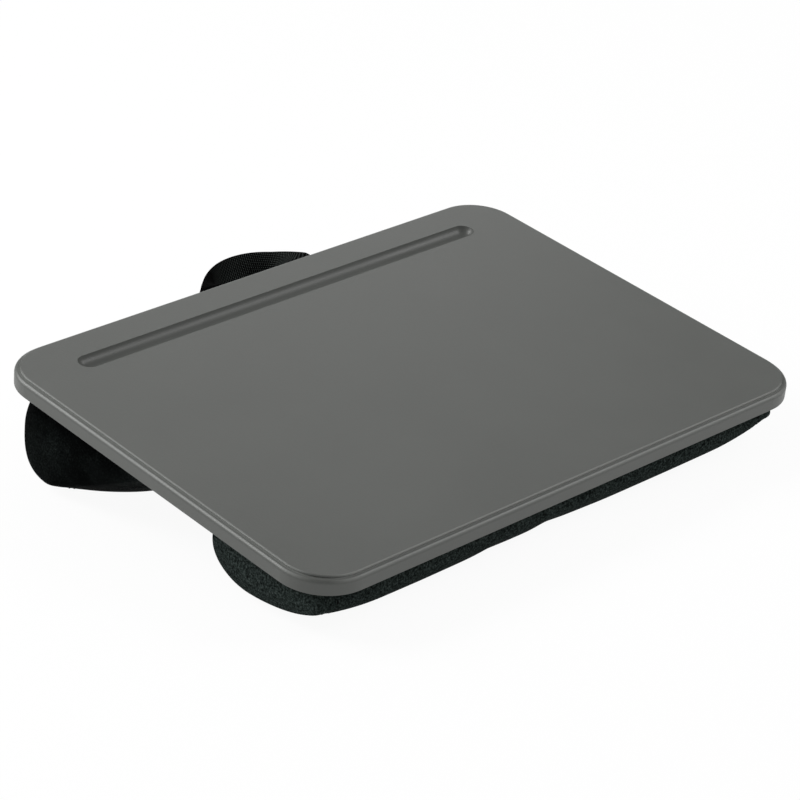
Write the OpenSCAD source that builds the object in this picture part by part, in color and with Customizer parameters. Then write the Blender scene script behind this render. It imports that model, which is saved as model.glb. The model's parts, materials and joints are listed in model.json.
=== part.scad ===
// Lap desk: a film-wrapped board on two bead-filled bolsters, with a webbing carry handle
// Millimetres. X runs along the board, -Y is the user's side, Z is up from the resting plane.

/* [Board] */
// Width of the board, along X
board_w = 368; // [320:1:460]
// Depth of the board, from the user's edge to the rear edge
board_d = 271; // [240:1:340]
// Radius of the board's corners, seen from above
corner_r = 29; // [15:0.5:45]
// Thickness of the fibreboard core
core_t = 9.2; // [8:0.1:15]
// Thickness of the vinyl film over the core
film_t = 0.4; // [0.2:0.05:0.6]
// Thickness of the paper backer under the core
backer_t = 0.4; // [0.2:0.1:1]
// Slope of the board towards the user, in degrees
slope = 8; // [4:0.5:11]

/* [Board edge] */
// Height of the small step round the top face
edge_step = 1.2; // [0.8:0.1:2]
// Flat ledge at the foot of the step
edge_ledge = 0.3; // [0:0.1:1]
// Radius of the rounded edge outside the step
edge_round = 2.6; // [1.5:0.1:4]
// Radius that breaks the top of the step
lip_round = 0.6; // [0.5:0.1:0.8]

/* [Pen groove] */
// Length of the groove at the board's face
groove_l = 296; // [100:1:300]
// Radius of the round-nosed cutter that makes it
groove_r = 7; // [5.5:0.1:9]
// Depth of the groove
groove_depth = 5; // [3:0.1:5.5]
// From the rear edge to the middle of the groove
groove_inset = 30.5; // [20:0.5:45]

/* [Base cloth] */
// Thickness of the cloth under the board
cloth_t = 0.8; // [0.5:0.1:1.5]
// Margin from the board's edge to the cloth's edge
cloth_margin = 4; // [2:0.5:8]

/* [Bolsters] */
// Length of both bolsters between their end seams
bolster_l = 337; // [280:1:420]
// How far the sewn pad sits off the board's middle, along X
pad_shift = -5.5; // [-8:0.5:8]
// Thickness of the bolsters' padded cloth
cover_t = 1.2; // [0.8:0.1:2]
// How far an end panel swells outwards
end_swell = 2; // [0:0.5:5]
// Length over which each bolster draws in to its end seam
end_taper = 45; // [20:1:70]
// How much shallower the front bolster is at its end seams
front_end_draw = 8; // [0:0.5:12]
// How much shallower the rear bolster is at its end seams
rear_end_draw = 5.5; // [0:0.5:12]
// Depth of the front bolster below the cloth, at its middle
front_depth = 33.5; // [28:0.5:45]
// Width of the front bolster where it is sewn to the cloth
front_seam_w = 83; // [70:1:95]
// Front seam of the front bolster, from the board's front edge
front_seam_inset = 9.5; // [8:0.5:14]
// Width of the rear bolster where it is sewn to the cloth
rear_seam_w = 110; // [95:1:125]
// Rear seam of the rear bolster, from the board's rear edge
rear_seam_inset = 23.5; // [20:0.5:30]

/* [Carry handle] */
// Width of the webbing
web_w = 25; // [20:1:32]
// Thickness of the webbing
web_t = 1.6; // [1:0.1:2.2]
// Distance between the outer selvedges where they pass the board's rear edge
loop_w = 97; // [80:1:110]
// How far the loop stands out behind the board's rear edge
loop_out = 28; // [18:0.5:45]
// Depth of the loop's upper selvedge below the board's face, at its middle
loop_drop = 6; // [0:0.5:8]
// How far the handle sits off the board's middle, along X
handle_shift = 8.5; // [-10:0.5:10]

/* [Staples] */
// Width of a staple's crown
crown_w = 10; // [8:0.5:13]
// Thickness of the staple wire
wire_t = 0.6; // [0.5:0.1:0.9]
// Length of a staple's legs
leg_l = 6; // [5:0.5:8]

/* [Hidden] */
$fn = 64;
grey = [0.40, 0.41, 0.41];
fibre = [0.62, 0.50, 0.36];
paper = [0.86, 0.84, 0.80];
black = [0.12, 0.13, 0.13];
bead_white = [0.93, 0.93, 0.90];
web_black = [0.08, 0.08, 0.09];
steel = [0.72, 0.73, 0.75];
over = 1;            // how far a cutter runs past the face it cuts
fill_gap = 0.3;      // between the cover and the beads' own outline
floor_cut = 0.5;     // how deep the bolsters are pressed flat where they rest

// Levels in the board's own frame, whose origin is the middle of its top face
under_z = -(film_t + core_t + backer_t);
seam_z = under_z - cloth_t;
web_z = seam_z - web_t/2;
groove_y = board_d/2 - groove_inset;
groove_z = groove_r - groove_depth;
groove_tip = sqrt(groove_r*groove_r - groove_z*groove_z);

// Sides of each bolster, seen along X. A side is [how far it bulges past its seam,
// how far below the seam it is widest, the exponent of the curve below that level].
front_side_f = [5, 9.2, 1.85];
front_side_r = [1.5, 9.2, 2.1];
rear_side_f = [0, 0, 1.5];
rear_side_r = [7.5, 25, 3];
front_belly = 0.64;  // where the front bolster is deepest, as a share from its front seam
rear_belly = 0.83;
side_draw = 0.4;     // how much a side draws in at the end seams, as a share of the end draw
stations = 22;       // cross sections along a bolster, less one
steps_up = 4;        // points of a side above its widest level
steps_low = 8;       // points of a side below it
dome_rings = 3;
end_mid = 0.42;      // depth of an end panel's middle, as a share of its own depth

// A bolster is [front seam y, width at the seams, belly y, front side, rear side, depth, end draw]
front_seam_y = -board_d/2 + front_seam_inset;
rear_seam_y = board_d/2 - rear_seam_inset - rear_seam_w;
front_mid_y = front_seam_y + front_belly*front_seam_w;
rear_mid_y = rear_seam_y + rear_belly*rear_seam_w;

// Reach of a superellipse quarter with half-axes a and b, in a direction folded into them
function reach(a, b, n) = let(q = n/(n - 1)) pow(pow(a, q) + pow(b, q), 1/q);
function reach_b(h, a, n) = let(q = n/(n - 1)) pow(pow(h, q) - pow(a, q), 1/q);

// The front bolster's lowest point sets the resting plane, and the rear one's depth follows
front_a = front_mid_y - front_seam_y + front_side_f[0];
front_b = front_depth - front_side_f[1];
front_low = front_mid_y*sin(slope) + (seam_z - front_side_f[1])*cos(slope)
    - reach(front_a*sin(slope), front_b*cos(slope), front_side_f[2]);
rear_a = rear_mid_y - rear_seam_y + rear_side_f[0];
rear_h = rear_mid_y*sin(slope) + (seam_z - rear_side_f[1])*cos(slope) - front_low;
rear_depth = rear_side_f[1] + reach_b(rear_h, rear_a*sin(slope), rear_side_f[2])/cos(slope);
front_bolster = [front_seam_y, front_seam_w, front_mid_y, front_side_f, front_side_r,
                 front_depth, front_end_draw];
rear_bolster = [rear_seam_y, rear_seam_w, rear_mid_y, rear_side_f, rear_side_r,
                rear_depth, rear_end_draw];

// Carry handle: the loop starts at the hinge line, just inside the board's rear edge
hinge_inset = 1.2;
hinge_y = board_d/2 - hinge_inset;
seam_clearance = 1.5; // between the webbing's cut ends and the rear bolster's seam
hinge_gap = 1;       // between the loop and its sewn-down ends, so that it can fold down
loop_top_z = -loop_drop;
loop_h = board_d/2 + loop_out - hinge_y;
loop_clear = 12;     // least room between the loop's two ends
loop_steps = 48;
rise_from = 0.04;    // where the upper selvedge starts to rise, as a share of half the loop
rise_over = 0.13;    // and the share over which it rises
stand_over = 0.8;    // the share over which the webbing turns from flat to on edge
square_over = 0.5;   // the share over which its rows turn from along the board to square
tail_rear_y = hinge_y - hinge_gap;
tail_front_y = board_d/2 - rear_seam_inset + seam_clearance;
loop_lean = atan2(2*loop_h, loop_w/2);
cut_w = web_w/sin(loop_lean);
loop_cut_w = min(cut_w, loop_w/2 - loop_clear/2);

// Staples, from the cloth's own edges and from each other
rear_staple_inset = 6;
front_staple_inset = 2;
side_staple_inset = 5;
gap_staple_step = 9;
tail_staple_step = [4.5, 5];

// The board's frame is lifted and tilted so that the bolsters rest on z = 0, and the
// model's origin is the middle of its outline on that plane
lift = -front_low - floor_cut;
y_front = (-board_d/2 + edge_round)*cos(slope) + (edge_step + edge_round)*sin(slope) - edge_round;
y_rear = (board_d/2 + loop_out + web_t/2)*cos(slope) + (web_w - loop_top_z)*sin(slope);
y_shift = -(y_front + y_rear)/2;
function world(p) = [p[0],
                     p[1]*cos(slope) - p[2]*sin(slope) + y_shift,
                     p[1]*sin(slope) + p[2]*cos(slope) + lift];
function floored(p, low) = [p[0], p[1], max(p[2], low)];
module in_board_frame() {
    translate([0, y_shift, lift]) rotate([slope, 0, 0]) children();
}

// Board
// Half section of the edge, from a corner's centre outwards, drawn in by off
module edge_profile(off) {
    side = corner_r - off;
    round_x = corner_r - edge_round;
    round_z = -(edge_step + edge_round);
    step_x = round_x - edge_ledge - off;
    lip = max(lip_round - off, 0.1);
    bottom = under_z - over;
    translate([0, bottom]) square([side, round_z - bottom]);
    translate([0, bottom]) square([round_x, round_z + edge_round - off - bottom]);
    translate([round_x, round_z]) circle(r = edge_round - off);
    translate([0, bottom]) square([step_x - lip, -off - bottom]);
    translate([0, bottom]) square([step_x, -off - lip - bottom]);
    translate([step_x - lip, -off - lip]) circle(r = lip);
}

// The wrapped board's outline drawn in by off on the top and sides; it runs past the underside
module slab(off) {
    in_w = board_w - 2*corner_r;
    in_d = board_d - 2*corner_r;
    bottom = under_z - over;
    translate([-in_w/2, -in_d/2, bottom]) cube([in_w, in_d, -off - bottom]);
    for (s = [0, 1]) {
        rotate([0, 0, 180*s]) translate([in_w/2, 0, 0])
            rotate([90, 0, 0]) linear_extrude(height = in_d, center = true) edge_profile(off);
        rotate([0, 0, 90 + 180*s]) translate([in_d/2, 0, 0])
            rotate([90, 0, 0]) linear_extrude(height = in_w, center = true) edge_profile(off);
    }
    for (a = [0, 90, 180, 270]) {
        sx = (a == 0 || a == 270) ? 1 : -1;
        sy = a < 180 ? 1 : -1;
        translate([sx*in_w/2, sy*in_d/2, 0]) rotate([0, 0, a])
            rotate_extrude(angle = 90) edge_profile(off);
    }
}

module groove_cutter(off) {
    half = groove_l/2 - groove_tip;
    translate([0, groove_y, groove_z]) {
        rotate([0, 90, 0]) cylinder(r = groove_r + off, h = 2*half, center = true);
        for (s = [-1, 1]) translate([s*half, 0, 0]) sphere(r = groove_r + off);
    }
}

module below(z) {
    translate([-board_w, -board_d, z - board_w]) cube([2*board_w, 2*board_d, board_w]);
}

module board_core() {
    color(fibre) in_board_frame() difference() {
        slab(film_t);
        groove_cutter(film_t);
        below(under_z + backer_t);
    }
}

module board_film() {
    color(grey) in_board_frame() difference() {
        slab(0);
        groove_cutter(0);
        difference() {
            slab(film_t);
            groove_cutter(film_t);
        }
        below(under_z);
    }
}

module rounded_plate(w, d, r, z, t) {
    translate([-w/2 + r, -d/2, z]) cube([w - 2*r, d, t]);
    translate([-w/2, -d/2 + r, z]) cube([w, d - 2*r, t]);
    for (sx = [-1, 1], sy = [-1, 1])
        translate([sx*(w/2 - r), sy*(d/2 - r), z]) cylinder(r = r, h = t);
}

module board_backer() {
    color(paper) in_board_frame()
        rounded_plate(board_w - 2*film_t, board_d - 2*film_t, corner_r - film_t, under_z, backer_t);
}

module base_cloth() {
    color(black) in_board_frame()
        rounded_plate(board_w - 2*cloth_margin, board_d - 2*cloth_margin,
                      corner_r - cloth_margin, seam_z, cloth_t);
}

// Bolsters
// How full a bolster is at x: 1 along its middle, falling to 0 at its end seams
function fullness(x) = let(e = max(0, (abs(x) - bolster_l/2 + end_taper)/end_taper)) 1 - e*e;

// One side of a section from its seam down to the belly; dir is -1 for the front side, 1 for the rear
function side_points(b, dir, full) = let(
    side = dir < 0 ? b[3] : b[4],
    seam_y = dir < 0 ? b[0] : b[0] + b[1],
    drawn = b[6]*(1 - full),
    wide = abs(seam_y - b[2]) + side[0] - side_draw*drawn,
    top = abs(seam_y - b[2]) - side_draw*drawn,
    low = b[5] - drawn - side[1],
    rise = side[1] > 0 ? steps_up : 0
) concat(
    [for (k = [0:1:rise - 1]) let(f = k/rise)
        [b[2] + dir*(top + side[0]*sin(90*f)), seam_z - side[1]*f]],
    [for (k = [0:1:steps_low - 1]) let(t = 90*k/steps_low)
        [b[2] + dir*wide*pow(cos(t), 2/side[2]), seam_z - side[1] - low*pow(sin(t), 2/side[2])]]
);

// The whole section at x, from the rear seam round the belly to the front seam, as [y, z]
function section(b, x) = let(
    full = fullness(x),
    rear = side_points(b, 1, full),
    front = side_points(b, -1, full),
    n = len(front)
) concat(rear, [[b[2], seam_z - b[5] + b[6]*(1 - full)]], [for (k = [n - 1:-1:0]) front[k]]);

// The same section drawn in by t, square to its own outline and open at the cloth
function unit(v) = v/norm(v);
function inner_section(b, x, t) = let(s = section(b, x), n = len(s)) [
    for (k = [0:n - 1]) let(
        along = unit(s[min(k + 1, n - 1)] - s[max(k - 1, 0)]),
        in = [-along[1], along[0]]*-t,
        p = s[k] + in
    ) k == 0 || k == n - 1 ? [p[0], seam_z] : [p[0], min(p[1], seam_z)]
];

function station_x(i) = bolster_l/2*sin(90*(2*i/stations - 1));
function rows_at(s, x, low) = [for (p = s) floored(world([x + pad_shift, p[0], p[1]]), low)];

// Faces of a grid of rows by cols points that starts at index at
function grid_faces(rows, cols, at, flip) = [
    for (i = [0:rows - 2], j = [0:cols - 2]) let(
        a = at + i*cols + j,
        c = a + cols
    ) each flip ? [[a, a + 1, c + 1], [a, c + 1, c]] : [[a, c + 1, a + 1], [a, c, c + 1]]
];
function strip_faces(a, b, flip) = [
    for (k = [0:len(a) - 2])
        each flip ? [[a[k], b[k], b[k + 1]], [a[k], b[k + 1], a[k + 1]]]
                  : [[a[k], b[k + 1], b[k]], [a[k], a[k + 1], b[k + 1]]]
];

// The long wrapped panel of a bolster, an open-topped trough of cloth
module bolster_cover(b) {
    n = len(section(b, 0));
    rows = stations + 1;
    outer = [for (i = [0:stations]) each rows_at(section(b, station_x(i)), station_x(i), 0)];
    inner = [for (i = [0:stations]) each rows_at(inner_section(b, station_x(i), cover_t), station_x(i), 0)];
    at = rows*n;
    ends = [for (k = [0:n - 1]) k];
    last = [for (k = [0:n - 1]) (rows - 1)*n + k];
    long_a = [for (i = [0:rows - 1]) i*n];
    long_b = [for (i = [0:rows - 1]) i*n + n - 1];
    inside = [for (k = [0:n - 1]) at + k];
    polyhedron(points = concat(outer, inner), convexity = 6, faces = concat(
        grid_faces(rows, n, 0, true),
        grid_faces(rows, n, at, false),
        strip_faces(ends, [for (k = ends) k + at], true),
        strip_faces(last, [for (k = last) k + at], false),
        strip_faces(long_a, [for (k = long_a) k + at], false),
        strip_faces(long_b, [for (k = long_b) k + at], true)
    ));
}

// The beads' own outline inside a cover, closed flat under the cloth
module bolster_fill(b) {
    n = len(section(b, 0));
    rows = stations + 1;
    squash = (bolster_l/2 - fill_gap)/(bolster_l/2);
    pts = [for (i = [0:stations]) each rows_at(
        [for (p = inner_section(b, station_x(i), cover_t + fill_gap)) [p[0], min(p[1], seam_z - fill_gap)]],
        station_x(i)*squash, 0)];
    last = (rows - 1)*n;
    polyhedron(points = pts, convexity = 4, faces = concat(
        grid_faces(rows, n, 0, true),
        [for (k = [1:n - 2]) [0, k + 1, k]],
        [for (k = [1:n - 2]) [last, last + k, last + k + 1]],
        [for (i = [0:rows - 2]) each [
            [i*n, (i + 1)*n, (i + 1)*n + n - 1],
            [i*n, (i + 1)*n + n - 1, i*n + n - 1]]]
    ));
}

// A D-shaped end panel, sewn to the cover's rim and swelling outwards; dir is -1 or 1
module bolster_end(b, dir) {
    s = section(b, bolster_l/2);
    n = len(s);
    mid = [b[2], seam_z - (b[5] - b[6])*end_mid];
    rim_x = dir*bolster_l/2;
    shrink = [for (k = [0:dome_rings]) 1 - k/(dome_rings + 1)];
    function ring(f, out) = [for (p = s) let(q = mid + (p - mid)*f)
        floored(world([rim_x + pad_shift + dir*(end_swell*(1 - f*f) + out), q[0], q[1]]), 0)];
    function skin(out) = concat([for (f = shrink) each ring(f, out)],
        [world([rim_x + pad_shift + dir*(end_swell + out), mid[0], mid[1]])]);
    at = (dome_rings + 1)*n + 1;
    function cap(base, flip) = concat(
        [for (k = [0:dome_rings - 1], j = [0:n - 1]) let(
            a = base + k*n + j,
            a2 = base + k*n + (j + 1)%n,
            c = a + n,
            c2 = a2 + n
        ) each flip ? [[a, c2, a2], [a, c, c2]] : [[a, a2, c2], [a, c2, c]]],
        [for (j = [0:n - 1]) let(
            a = base + dome_rings*n + j,
            a2 = base + dome_rings*n + (j + 1)%n,
            tip = base + (dome_rings + 1)*n
        ) flip ? [a, tip, a2] : [a, a2, tip]]
    );
    out_first = dir > 0;
    polyhedron(points = concat(skin(0), skin(cover_t)), convexity = 4, faces = concat(
        cap(0, out_first),
        cap(at, !out_first),
        [for (j = [0:n - 1]) let(a = j, a2 = (j + 1)%n)
            each out_first ? [[a, a2, a2 + at], [a, a2 + at, a + at]]
                           : [[a, a2 + at, a2], [a, a + at, a2 + at]]]
    ));
}

module rear_cover() { color(black) bolster_cover(rear_bolster); }
module rear_end_left() { color(black) bolster_end(rear_bolster, -1); }
module rear_end_right() { color(black) bolster_end(rear_bolster, 1); }
module rear_fill() { color(bead_white) bolster_fill(rear_bolster); }
module front_cover() { color(black) bolster_cover(front_bolster); }
module front_end_left() { color(black) bolster_end(front_bolster, -1); }
module front_end_right() { color(black) bolster_end(front_bolster, 1); }
module front_fill() { color(bead_white) bolster_fill(front_bolster); }

// Carry handle
function smooth(v) = let(c = min(max(v, 0), 1)) c*c*(3 - 2*c);

// Upper selvedge of the loop at s, from -1 on the left to 1 on the right
function selvedge(s) = let(v = 1 - abs(s)) [
    handle_shift + loop_w/2*s,
    hinge_y + loop_h*(1 - s*s),
    web_z + (loop_top_z - web_z)*smooth((v - rise_from)/rise_over)
];
// From the upper selvedge across the webbing to the lower one
function across(s) = let(
    v = 1 - abs(s),
    flat = [-sign(s)*loop_cut_w, 0, 0],
    inward = unit([-2*loop_h*s, -loop_w/2, 0]),
    turn = 90*smooth(v/stand_over),
    stood = web_w*[inward[0]*cos(turn), inward[1]*cos(turn), -sin(turn)],
    m = smooth(v/square_over)
) (1 - m)*flat + m*stood;
function loop_s(i) = 2*i/loop_steps - 1;
function loop_along(s) = unit(selvedge(min(s + 0.01, 1)) - selvedge(max(s - 0.01, -1)));
// Square to the webbing's face, kept upright at both ends where it lies flat
function face_normal(s) = abs(s) > 0.999 ? [0, 0, 1] : unit(cross(loop_along(s), -across(s)));
function loop_ring(s) = let(a = selvedge(s), c = a + across(s), n = face_normal(s)*web_t/2)
    [a + n, a - n, c - n, c + n];

module handle_loop() {
    pts = [for (i = [0:loop_steps]) each [for (p = loop_ring(loop_s(i))) world(p)]];
    last = 4*loop_steps;
    color(web_black) polyhedron(points = pts, convexity = 8, faces = concat(
        [for (i = [0:loop_steps - 1], k = [0:3]) let(
            a = 4*i + k,
            a2 = 4*i + (k + 1)%4
        ) each [[a, a2, a2 + 4], [a, a2 + 4, a + 4]]],
        [[0, 2, 1], [0, 3, 2], [last, last + 1, last + 2], [last, last + 2, last + 3]]
    ));
}

// An end of the webbing under the cloth, cut along the rear bolster's seam; dir is -1 or 1
module handle_tail(dir) {
    lean = (tail_rear_y - tail_front_y)/tan(loop_lean);
    start = (hinge_y - tail_rear_y)/tan(loop_lean);
    outer = loop_w/2 + start;
    translate([handle_shift, 0, seam_z - web_t]) linear_extrude(height = web_t) polygon([
        [dir*outer, tail_rear_y],
        [dir*(outer + lean), tail_front_y],
        [dir*(outer + lean - loop_cut_w), tail_front_y],
        [dir*(outer - loop_cut_w), tail_rear_y]
    ]);
}
module handle_tail_left() { color(web_black) in_board_frame() handle_tail(-1); }
module handle_tail_right() { color(web_black) in_board_frame() handle_tail(1); }

// Staples
// One staple with its crown along X under the level z, its legs driven up into the board
module staple(z) {
    translate([-crown_w/2, -wire_t/2, z - wire_t]) cube([crown_w, wire_t, wire_t]);
    for (s = [-1, 1])
        translate([s*(crown_w - wire_t)/2 - wire_t/2, -wire_t/2, z - wire_t])
            cube([wire_t, wire_t, leg_l + wire_t]);
}

staple_rear_y = board_d/2 - cloth_margin - rear_staple_inset;
staple_front_y = -board_d/2 + cloth_margin + front_staple_inset;
staple_side_x = board_w/2 - cloth_margin - side_staple_inset;
staple_corner_x = board_w/2 - corner_r/2;
staple_corner_y = board_d/2 - corner_r/2;
gap_mid_y = (front_seam_y + front_seam_w + rear_seam_y)/2;
module cloth_staples() {
    color(steel) in_board_frame() {
        for (k = [-3, -2, 2, 3]) translate([k*board_w/8, staple_rear_y, 0]) staple(seam_z);
        for (k = [-3:3]) translate([k*board_w/8, staple_front_y, 0]) staple(seam_z);
        for (s = [-1, 1], k = [-1, 1])
            translate([s*staple_side_x, gap_mid_y + gap_staple_step*k, 0]) rotate([0, 0, 90]) staple(seam_z);
        for (s = [-1, 1]) translate([s*staple_corner_x, staple_corner_y, 0])
            rotate([0, 0, -45*s]) staple(seam_z);
    }
}
module handle_staples() {
    mid_y = (tail_rear_y + tail_front_y)/2;
    mid_x = loop_w/2 - loop_cut_w/2 + (hinge_y - mid_y)/tan(loop_lean);
    color(steel) in_board_frame()
        for (s = [-1, 1], k = [-1, 1])
            translate([handle_shift + s*mid_x - k*tail_staple_step[0], mid_y + k*tail_staple_step[1], 0])
                staple(seam_z - web_t);
}

board_core();
board_film();
board_backer();
base_cloth();
cloth_staples();
rear_cover();
rear_end_left();
rear_end_right();
rear_fill();
front_cover();
front_end_left();
front_end_right();
front_fill();
handle_loop();
handle_tail_left();
handle_tail_right();
handle_staples();
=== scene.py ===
"""Looks of the lap desk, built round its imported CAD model. Lengths are written in millimetres."""

import json
import math

import bpy
from mathutils import Matrix, Vector
from mathutils.kdtree import KDTree


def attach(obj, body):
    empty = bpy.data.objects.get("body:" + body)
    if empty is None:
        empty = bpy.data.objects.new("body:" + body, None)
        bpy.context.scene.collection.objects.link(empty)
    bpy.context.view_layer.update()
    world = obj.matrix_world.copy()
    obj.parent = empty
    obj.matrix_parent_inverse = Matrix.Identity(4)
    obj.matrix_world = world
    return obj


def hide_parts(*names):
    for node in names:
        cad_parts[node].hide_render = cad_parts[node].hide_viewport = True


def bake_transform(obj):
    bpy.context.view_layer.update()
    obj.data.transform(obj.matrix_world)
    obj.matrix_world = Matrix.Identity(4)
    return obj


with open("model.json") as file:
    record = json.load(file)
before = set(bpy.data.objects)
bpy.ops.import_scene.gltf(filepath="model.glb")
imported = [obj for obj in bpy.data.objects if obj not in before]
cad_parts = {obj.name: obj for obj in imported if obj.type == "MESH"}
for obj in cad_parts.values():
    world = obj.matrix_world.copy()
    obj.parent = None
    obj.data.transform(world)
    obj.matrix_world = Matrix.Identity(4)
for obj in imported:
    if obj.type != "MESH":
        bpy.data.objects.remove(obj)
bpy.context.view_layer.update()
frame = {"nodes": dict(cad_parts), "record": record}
nodes = frame["nodes"]
MM = 0.001
BOARD_W, BOARD_D, CORNER_R = 368, 271, 29

# The board's own frame: origin in the middle of its top face, Z square to it
surface = next(m for m in frame["record"]["mounts"] if m["name"] == "work_surface")
tilt = math.atan2(-surface["axis"][1], surface["axis"][2])
board_frame = Matrix.Translation(surface["pos_m"]) @ Matrix.Rotation(tilt, 4, "X")


def on_board(x, y, z):
    """The place in the row frame, in metres, of a point of the board's frame in millimetres."""
    return board_frame @ (Vector((x, y, z)) * MM)


# Materials


def linear(hex_colour):
    """An sRGB hex colour as linear red, green, blue and alpha."""
    parts = [int(hex_colour[i : i + 2], 16) / 255 for i in (1, 3, 5)]
    return [p / 12.92 if p <= 0.04045 else ((p + 0.055) / 1.055) ** 2.4 for p in parts] + [1]


def add(tree, kind, inputs=None, **settings):
    """Adds a shader node. Inputs are values, or outputs of other nodes to link, by socket name or number."""
    made = tree.nodes.new("ShaderNode" + kind)
    for name, value in settings.items():
        setattr(made, name, value)
    for name, value in (inputs or {}).items():
        if isinstance(value, bpy.types.NodeSocket):
            tree.links.new(value, made.inputs[name])
        else:
            made.inputs[name].default_value = value
    return made


def new_material(name):
    """An empty material, and its node tree."""
    made = bpy.data.materials.new(name)
    made.use_nodes = True
    made.node_tree.nodes.clear()
    return made, made.node_tree


def ramp(tree, fac, stops):
    """A colour ramp with stops of (place, hex colour)."""
    made = add(tree, "ValToRGB", {"Fac": fac})
    while len(made.color_ramp.elements) < len(stops):
        made.color_ramp.elements.new(0.5)
    for element, (place, colour) in zip(made.color_ramp.elements, stops):
        element.position = place
        element.color = linear(colour)
    return made.outputs["Color"]


def finish_material(tree, shader):
    add(tree, "OutputMaterial", {"Surface": shader.outputs["BSDF"]})


def grain(size):
    """The scale at which a noise or cell pattern has grains of that size in millimetres."""
    return 1 / (size * MM)


def bands(spacing):
    """The scale at which a wave pattern has its bands that far apart in millimetres."""
    return math.pi / 10 / (spacing * MM)


WEAVE_MAP = "weave"  # the webbing's own UV map: metres along it and across it

# Painted highlights round the board, over the step and over the rounded edge: how far in from its outline
# each line begins, is at its full share, begins to fade and ends, and that share
PAINTED_HIGHLIGHT_LINES = (((1.9, 2.4, 3.5, 3.9), 1), ((0.15, 0.5, 1.2, 1.6), 0.75))


def vinyl_film():
    """PVC furniture film, calendered with a very fine pebble and vacuum-formed over the board: an even
    warm charcoal that shines only softly. Highlights are painted on it as paler lines over the step that
    runs round the top, and over the rounded edge, along the straight sides, fading at the corners. The real
    pebble is about 0.3 mm across, too fine to show, so it is drawn at 0.5 and 1.1 mm."""
    made, tree = new_material("vinyl_film")
    place = add(tree, "TexCoord").outputs["Object"]
    cloud = add(tree, "TexNoise", {"Vector": place, "Scale": grain(70), "Detail": 3, "Roughness": 0.5})
    even = ramp(tree, cloud.outputs["Fac"], [(0.35, "#525451"), (0.65, "#565855")])
    # How far in from the board's outline, seen from above: a rectangle's distance with rounded corners
    turned = {"Vector": place, "Location": surface["pos_m"], "Rotation": (tilt, 0, 0)}
    flat = add(tree, "Mapping", turned, vector_type="TEXTURE")
    half = add(tree, "VectorMath", {0: flat.outputs[0]}, operation="ABSOLUTE")
    corner = ((BOARD_W / 2 - CORNER_R) * MM, (BOARD_D / 2 - CORNER_R) * MM, 0)
    past = add(tree, "VectorMath", {0: half.outputs[0], 1: corner}, operation="SUBTRACT")
    past = add(tree, "VectorMath", {0: past.outputs[0], 1: (0, 0, 0)}, operation="MAXIMUM")
    past = add(tree, "VectorMath", {0: past.outputs[0], 1: (1, 1, 0)}, operation="MULTIPLY")
    reach = add(tree, "VectorMath", {0: past.outputs[0]}, operation="LENGTH").outputs["Value"]
    inset = add(tree, "Math", {0: CORNER_R * MM, 1: reach}, operation="SUBTRACT").outputs[0]
    # The painted highlight lines fade where the outline turns its corners
    ways = add(tree, "SeparateXYZ", {"Vector": past.outputs[0]})
    least = add(tree, "Math", {0: ways.outputs["X"], 1: ways.outputs["Y"]}, operation="MINIMUM")
    corner_share = add(tree, "Math", {0: least.outputs[0], 1: reach}, operation="DIVIDE").outputs[0]
    straight = add(tree, "MapRange", {"Value": corner_share, "From Min": 0.6, "From Max": 0.3})
    # Painted highlights: each line's share of a paler colour, along the straight sides only
    drawn = []
    for (start, full, fade, end), share in PAINTED_HIGHLIGHT_LINES:
        edges = []
        for none, all_of_it, most in ((start, full, share), (end, fade, 1)):
            edge = {"Value": inset, "From Min": none * MM, "From Max": all_of_it * MM, "To Max": most}
            edges.append(add(tree, "MapRange", edge).outputs[0])
        both = add(tree, "Math", {0: edges[0], 1: edges[1]}, operation="MULTIPLY").outputs[0]
        drawn.append(add(tree, "Math", {0: both, 1: straight.outputs[0]}, operation="MULTIPLY").outputs[0])
    paler = add(tree, "Math", {0: drawn[0], 1: drawn[1]}, operation="MAXIMUM").outputs[0]
    # The paler colour is a painted highlight, laid over the film's own colour
    colour = add(tree, "Mix", {"Factor": paler, 6: even, 7: linear("#70726f")}, data_type="RGBA").outputs[2]
    pebble = add(tree, "TexNoise", {"Vector": place, "Scale": grain(0.5), "Detail": 2, "Roughness": 0.6})
    dimple = add(tree, "TexVoronoi", {"Vector": place, "Scale": grain(1.1)})
    height = add(tree, "Math", {0: pebble.outputs["Fac"], 1: dimple.outputs["Distance"]}, operation="ADD")
    bump = add(tree, "Bump", {"Height": height.outputs[0], "Strength": 0.12, "Distance": 0.0002})
    uneven = {"Value": cloud.outputs["Fac"], "From Min": 0.3, "From Max": 0.7, "To Min": 0.4, "To Max": 0.46}
    shine = add(tree, "MapRange", uneven).outputs[0]
    look = {"Base Color": colour, "Roughness": shine, "IOR": 1.46, "Normal": bump.outputs[0]}
    finish_material(tree, add(tree, "BsdfPrincipled", look))
    return made


def fibreboard():
    """Raw medium-density fibreboard, hot-pressed: a warm brown of matted wood fibres, dead matt."""
    made, tree = new_material("fibreboard")
    place = add(tree, "TexCoord").outputs["Object"]
    fibres = add(tree, "TexNoise", {"Vector": place, "Scale": grain(1.4), "Detail": 4, "Roughness": 0.7})
    clumps = add(tree, "TexNoise", {"Vector": place, "Scale": grain(11), "Detail": 3})
    both = add(tree, "Math", {0: fibres.outputs["Fac"], 1: clumps.outputs["Fac"]}, operation="MULTIPLY")
    colour = ramp(tree, both.outputs[0], [(0.12, "#7d5f42"), (0.25, "#a3825f"), (0.4, "#b99a76")])
    bump = add(tree, "Bump", {"Height": both.outputs[0], "Strength": 0.4, "Distance": 0.0002})
    look = {"Base Color": colour, "Roughness": 0.9, "Specular IOR Level": 0.2, "Normal": bump.outputs[0]}
    finish_material(tree, add(tree, "BsdfPrincipled", look))
    return made


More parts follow.
